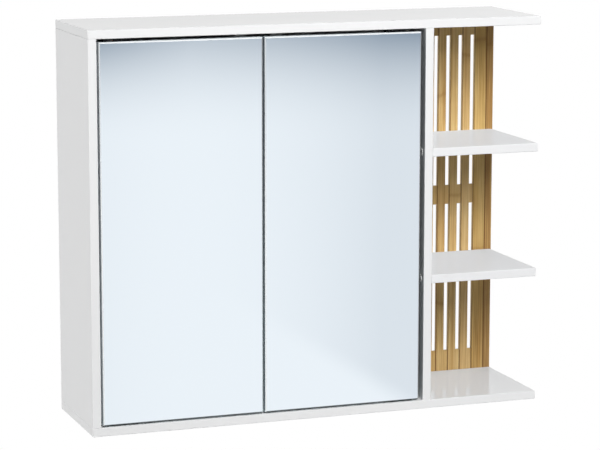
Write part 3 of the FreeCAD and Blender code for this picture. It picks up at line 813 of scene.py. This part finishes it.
def fastenerTree(name, countersunk):
    sizes = ["Head Radius", "Shank Radius", "Head Height", "Length"]
    if countersunk:
        sizes += ["Recess Width", "Recess Reach", "Recess Depth"]
    tree, source, result = geometryTree(name, ["Sides"], sizes)
    head = fromNode(tree, "GeometryNodeMeshCone", {
        "Vertices": source["Sides"], "Radius Bottom": source["Head Radius"], "Depth": source["Head Height"],
        "Radius Top": source["Shank Radius" if countersunk else "Head Radius"],
    })
    shank = fromNode(tree, "GeometryNodeMeshCylinder", {
        "Vertices": source["Sides"], "Radius": source["Shank Radius"], "Depth": source["Length"],
    })
    middle = join(tree, 0.0, 0.0, calc(tree, "MULTIPLY", source["Length"], 0.5))
    form = bothOf(tree, "UNION", {"Mesh 2": head}, moved(tree, shank, {"Translation": middle}))
    if countersunk:
        deep = calc(tree, "MULTIPLY", source["Recess Depth"], 2.0)
        reach = calc(tree, "MULTIPLY", source["Recess Reach"], 2.0)
        arm = block(tree, reach, source["Recess Width"], deep)
        otherArm = block(tree, source["Recess Width"], reach, deep)
        form = bothOf(tree, "DIFFERENCE", {"Mesh 1": form, "Mesh 2": arm}, otherArm)
    aim = namedValue(tree, "aim", "FLOAT_VECTOR")
    turn = fromNode(tree, "FunctionNodeAlignRotationToVector", {"Vector": aim}, axis="Z")
    places = {"Points": source["Geometry"], "Instance": form, "Rotation": turn}
    endTree(tree, fromNode(tree, "GeometryNodeInstanceOnPoints", places), source["Material"], result)
    return tree


screwTree, nailTree = fastenerTree("crossScrews", True), fastenerTree("flatNails", False)


def makeFasteners(node, tree, look):
    spots = screwSpots(node)
    headRadius = spots[0]["headRadius"]
    headHeight = headRadius * look["headShare"]
    base = pointMesh(node + "Heads", [spot["head"] for spot in spots], aim=[spot["aim"] for spot in spots])
    values = {
        "Head Radius": headRadius, "Shank Radius": spots[0]["shankRadius"], "Head Height": headHeight,
        "Length": spots[0]["length"], "Recess Width": headRadius * 2 * look["recessWidth"],
        "Recess Reach": headRadius * look["recessReach"], "Recess Depth": headHeight * look["recessDepth"],
        "Sides": look["sides"], "Material": finishes[slotOf[node]],
    }
    mesh = eased(grown(node, tree, base, values), look["easedEdge"], look["sharpAngle"])
    standFor(linkObject(node + "_set", mesh), node)


screwNodes = [
    "open_shelf_screws", "bamboo_screws", "fixed_pivot_screws", "latch_screws", "door_stop_screws",
    "left_pivot_screws", "right_pivot_screws", "left_strike_screw", "right_strike_screw",
]
for node in screwNodes:
    makeFasteners(node, screwTree, screwLook)
makeFasteners("back_panel_nails", nailTree, nailLook)
print("screws and nails grown:", len(screwNodes) + 1, "sets")


# Mirror panes with a polished arris round the face
paneSizes = {"arris": 1.8 * mm}
paneFinishes = [finishes["mirror_glass"], makeArris(mirrorLook["arris"]), makeGlassEdge(mirrorLook["edge"])]


def makePane(node, sizes):
    low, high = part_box(node)
    arris = sizes["arris"]

    def ring(inset, y):
        return [(low.x + inset, y, low.z + inset), (high.x - inset, y, low.z + inset),
                (high.x - inset, y, high.z - inset), (low.x + inset, y, high.z - inset)]

    corners = ring(arris, low.y) + ring(0, low.y + arris) + ring(0, high.y)
    sides = [(i, (i + 1) % 4) for i in range(4)]
    faces = [(0, 1, 2, 3)]
    faces += [(a, a + 4, b + 4, b) for a, b in sides]
    faces += [(a + 4, a + 8, b + 8, b + 4) for a, b in sides]
    faces += [(11, 10, 9, 8)]
    finishOf = [0] + [1] * 4 + [2] * 5  # the mirror face, its arris, then the edges and the back
    mesh = bpy.data.meshes.new(node + "Pane")
    mesh.from_pydata(corners, [], faces)
    for finish in paneFinishes:
        mesh.materials.append(finish)
    for face, index in zip(mesh.polygons, finishOf):
        face.material_index = index
    standFor(linkObject(node + "_pane", mesh), node)


for side in ("left", "right"):
    makePane(side + "_mirror", paneSizes)
print("mirror panes made")


# Small hard pieces, tapes and the pad get their edges eased
easedWidths = {
    "fixed_pivot_plates": 0.25 * mm, "left_pivot_plates": 0.25 * mm, "right_pivot_plates": 0.25 * mm,
    "left_strike_plate": 0.2 * mm, "right_strike_plate": 0.2 * mm, "shelf_supports": 0.4 * mm,
    "left_latch_housing": 0.6 * mm, "right_latch_housing": 0.6 * mm,
    "left_latch_plunger": 0.4 * mm, "right_latch_plunger": 0.4 * mm, "door_stop_pad": 0.6 * mm,
    "left_mirror_tape": 0.2 * mm, "right_mirror_tape": 0.2 * mm, "cam_locks": 0.25 * mm,
}
flatAngle = math.radians(1)  # faces that meet at less are one


def easeNode(node, width):
    work = mergedCopy(node)
    bmesh.ops.dissolve_limit(work, angle_limit=flatAngle, verts=work.verts, edges=work.edges)
    mesh = bpy.data.meshes.new(node + "Merged")
    work.to_mesh(mesh)
    work.free()
    mesh.materials.append(finishes[slotOf[node]])
    standFor(linkObject(node + "_eased", eased(mesh, width)), node)


for node, width in easedWidths.items():
    easeNode(node, width)
print("eased pieces:", len(easedWidths))


# Stage: a pale floor well below the hanging cabinet, white surroundings and soft lamps
stageSizes = {
    "drop": 0.9, "radius": 3.2, "fadeFrom": 1.2, "segments": 96, "color": (0.60, 0.60, 0.60, 1),
    "glow": 0.36, "roughness": 0.8, "toneScale": 1.5, "toneAmount": 0.02,
}


def makeFloor(sizes):
    middle = (cadBox[0] + cadBox[1]) / 2
    place = Vector((middle.x, middle.y, cadBox[0].z - sizes["drop"]))
    work = bmesh.new()
    bmesh.ops.create_circle(work, cap_ends=True, segments=sizes["segments"], radius=sizes["radius"])
    mesh = bpy.data.meshes.new("floor")
    work.to_mesh(mesh)
    work.free()
    mesh.transform(Matrix.Translation(place))
    made, tree, shader = newMaterial("floorPaint", {"Roughness": sizes["roughness"]})
    wire(tree, shader, {"Base Color": toned(tree, sizes["color"], sizes)})
    span = measured(tree, "LENGTH", vectorCalc(tree, "SUBTRACT", objectCoords(tree), place))
    fade = remap(tree, span, sizes["fadeFrom"], sizes["radius"])  # the rim melts into the surroundings
    path = addNode(tree, "ShaderNodeLightPath").outputs
    seen = calc(tree, "MAXIMUM", path["Is Camera Ray"], path["Is Transmission Ray"])
    seen = calc(tree, "MAXIMUM", seen, path["Is Glossy Ray"])
    paint = tree.nodes["Principled BSDF"].outputs[0]
    white = fromNode(tree, "ShaderNodeEmission", {"Color": plainWhite, "Strength": 1.0})
    clear = fromNode(tree, "ShaderNodeBsdfTransparent")
    lit = mixShaders(tree, calc(tree, "MULTIPLY", seen, sizes["glow"]), paint, white)
    tree.links.new(mixShaders(tree, fade, lit, clear), tree.nodes["Material Output"].inputs["Surface"])
    mesh.materials.append(made)
    linkObject("floor", mesh)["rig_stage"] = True


makeFloor(stageSizes)

# What the mirrors see: white low down in front, dimming upwards and to both sides
surroundings = {
    "dim": (0.0, 0.075, 0.17, 1), "dimFrom": -0.139, "dimReach": 0.0455, "dimAmount": 0.447,
    "dimPower": 2.2, "dimMost": 0.55, "brightest": 0.31, "leastAhead": 0.05,
    "deeperLeft": 15.0, "deeperRight": 2.0,
    "fallOff": 20.0, "sideMost": 0.15, "leftFrom": -0.3, "leftEnd": -0.9,  # further to the left it is white
    "cornerSlope": 0.48, "cornerFrom": -0.185, "cornerTo": -0.197,  # the low right corner is bright again
    "bandTop": -0.085, "bandEnd": 0.08, "bandLeft": 0.5,  # the dimming that is left higher up
    "frontFrom": 0.1, "frontFull": -0.5,  # there is none behind the cabinet
    "frontAmbient": 0.042, "backAmbient": 0.9, "backFrom": 0.3, "backFull": 0.9,
    "backLow": 0.0, "backHigh": 0.5, "backHighLeft": 0.15,
}


def background(tree, color, strength):
    return fromNode(tree, "ShaderNodeBackground", {"Color": color, "Strength": strength})


def makeWorld(look):
    world = bpy.data.worlds.new("studio")
    world.use_nodes = True
    scene.world = world
    tree = world.node_tree
    x, y, z = split(tree, addNode(tree, "ShaderNodeTexCoord").outputs["Generated"])
    climb = calc(tree, "DIVIDE", calc(tree, "SUBTRACT", z, look["dimFrom"]), look["dimReach"])
    climb = calc(tree, "POWER", calc(tree, "MAXIMUM", climb, 0.0), look["dimPower"])
    upper = calc(tree, "MULTIPLY", climb, look["dimAmount"])
    ahead = calc(tree, "MAXIMUM", calc(tree, "MULTIPLY", y, -1.0), look["leastAhead"])
    sideways = calc(tree, "SUBTRACT", calc(tree, "DIVIDE", x, ahead), look["brightest"])
    toLeft = calc(tree, "MULTIPLY", sideways, -look["deeperLeft"])
    toRight = calc(tree, "MULTIPLY", sideways, look["deeperRight"])
    upper = calc(tree, "MULTIPLY_ADD", upper, calc(tree, "MAXIMUM", toLeft, toRight), upper)
    upper = calc(tree, "MINIMUM", upper, look["dimMost"])
    sides = calc(tree, "MULTIPLY", calc(tree, "MULTIPLY", sideways, sideways), look["fallOff"])
    sides = calc(tree, "MINIMUM", sides, look["sideMost"])
    slant = calc(tree, "MULTIPLY_ADD", sideways, look["cornerSlope"], z)
    corner = calc(tree, "MULTIPLY", remap(tree, slant, look["cornerFrom"], look["cornerTo"]),
                  calc(tree, "GREATER_THAN", sideways, 0.0))
    sides = calc(tree, "MULTIPLY", sides, calc(tree, "SUBTRACT", 1.0, corner))
    sides = calc(tree, "MULTIPLY", sides, remap(tree, sideways, look["leftEnd"], look["leftFrom"]))
    band = remap(tree, z, look["bandTop"], look["bandEnd"], 1.0, look["bandLeft"])
    inFront = calc(tree, "MULTIPLY", remap(tree, y, look["frontFrom"], look["frontFull"]), band)
    dimmed = calc(tree, "MULTIPLY", calc(tree, "ADD", upper, sides), inFront)
    mirrored = background(tree, blendColor(tree, dimmed, plainWhite, look["dim"]), 1.0)
    behind = calc(tree, "MULTIPLY", remap(tree, y, look["backFrom"], look["backFull"]),
                  remap(tree, z, look["backLow"], look["backHigh"], 1.0, look["backHighLeft"]))
    extra = look["backAmbient"] - look["frontAmbient"]  # low light from behind, for the back
    soft = calc(tree, "MULTIPLY_ADD", behind, extra, look["frontAmbient"])
    path = addNode(tree, "ShaderNodeLightPath").outputs
    seen = calc(tree, "MAXIMUM", path["Is Camera Ray"], path["Is Transmission Ray"])
    mixed = mixShaders(tree, path["Is Glossy Ray"], background(tree, plainWhite, soft), mirrored)
    mixed = mixShaders(tree, seen, mixed, background(tree, plainWhite, 1.0))
    tree.links.new(mixed, tree.nodes["World Output"].inputs["Surface"])


makeWorld(surroundings)

lamps = {
    "keyLamp": {"place": (0.26, -2.3, 0.97), "aim": (0.08, -0.1, -0.2),
                "size": (0.3, 0.9), "power": 29.0},
    "highLamp": {"place": (0.26, -2.15, 1.62), "aim": (0.08, -0.1, -0.2),
                 "size": (0.5, 0.8), "power": 36.4},
    "leftLamp": {"place": (-2.6, -0.35, 0.1), "aim": (0.0, -0.1, -0.3),
                 "size": (1.4, 1.6), "power": 33.5},
    "lowLamp": {"place": (0.42, -0.72, -1.35), "aim": (0.2, -0.17, -0.35),
                "size": (0.6, 0.3), "power": 2.1},
    "topLamp": {"place": (0.75, -0.03, 0.35), "aim": (0.1, -0.08, 0.04),
                "size": (0.16, 0.3), "power": 0.42},
    "backLamp": {"place": (-0.1, 2.6, 0.15), "aim": (0.08, 0.0, -0.25),
                 "size": (2.2, 1.4), "power": 32.0},
    "rightLamp": {"place": (2.4, 0.35, -0.1), "aim": (0.3, -0.05, -0.25),
                  "size": (1.2, 1.2), "power": 4.0},
}


def makeLamps(settings):
    for name, lamp in settings.items():
        data = bpy.data.lights.new(name, "AREA")
        data.shape = "RECTANGLE"
        data.size, data.size_y = lamp["size"]
        data.energy = lamp["power"]
        place, target = Vector(lamp["place"]), Vector(lamp["aim"])
        turn = (target - place).to_track_quat("-Z", "Y").to_matrix().to_4x4()
        holder = bpy.data.objects.new(name, data)
        holder.matrix_world = Matrix.Translation(place) @ turn
        holder.visible_camera = False
        holder.visible_glossy = False  # the mirrors show the soft surroundings, not the lamps
        scene.collection.objects.link(holder)


makeLamps(lamps)
print("stage and lamps set")

# Camera at the photograph's place: angles in degrees, lens and frame width in millimetres
cameraSettings = {
    "place": (-1.0905, -3.3476, 0.3489), "yaw": 19.744, "pitch": -9.798, "roll": 0.026,
    "lens": 150.03, "frameWidth": 36.0,
}


def makeCamera(settings):
    data = bpy.data.cameras.new("camera")
    data.sensor_width = settings["frameWidth"]
    data.sensor_fit = "HORIZONTAL"
    data.lens = settings["lens"]
    yaw, pitch, roll = (math.radians(settings[key]) for key in ("yaw", "pitch", "roll"))
    ahead = Vector((math.sin(yaw) * math.cos(pitch), math.cos(yaw) * math.cos(pitch), math.sin(pitch)))
    level = Vector((math.cos(yaw), -math.sin(yaw), 0))
    upright = level.cross(ahead)
    right = math.cos(roll) * level + math.sin(roll) * upright
    up = math.cos(roll) * upright - math.sin(roll) * level
    holder = bpy.data.objects.new("camera", data)
    turn = Matrix((right, up, -ahead)).transposed().to_4x4()
    holder.matrix_world = Matrix.Translation(settings["place"]) @ turn
    scene.collection.objects.link(holder)
    scene.camera = holder


makeCamera(cameraSettings)
print("camera set")

boxes = {"cad": cadBox, "visual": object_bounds()}
{name: [list(corner) for corner in box] for name, box in boxes.items()}
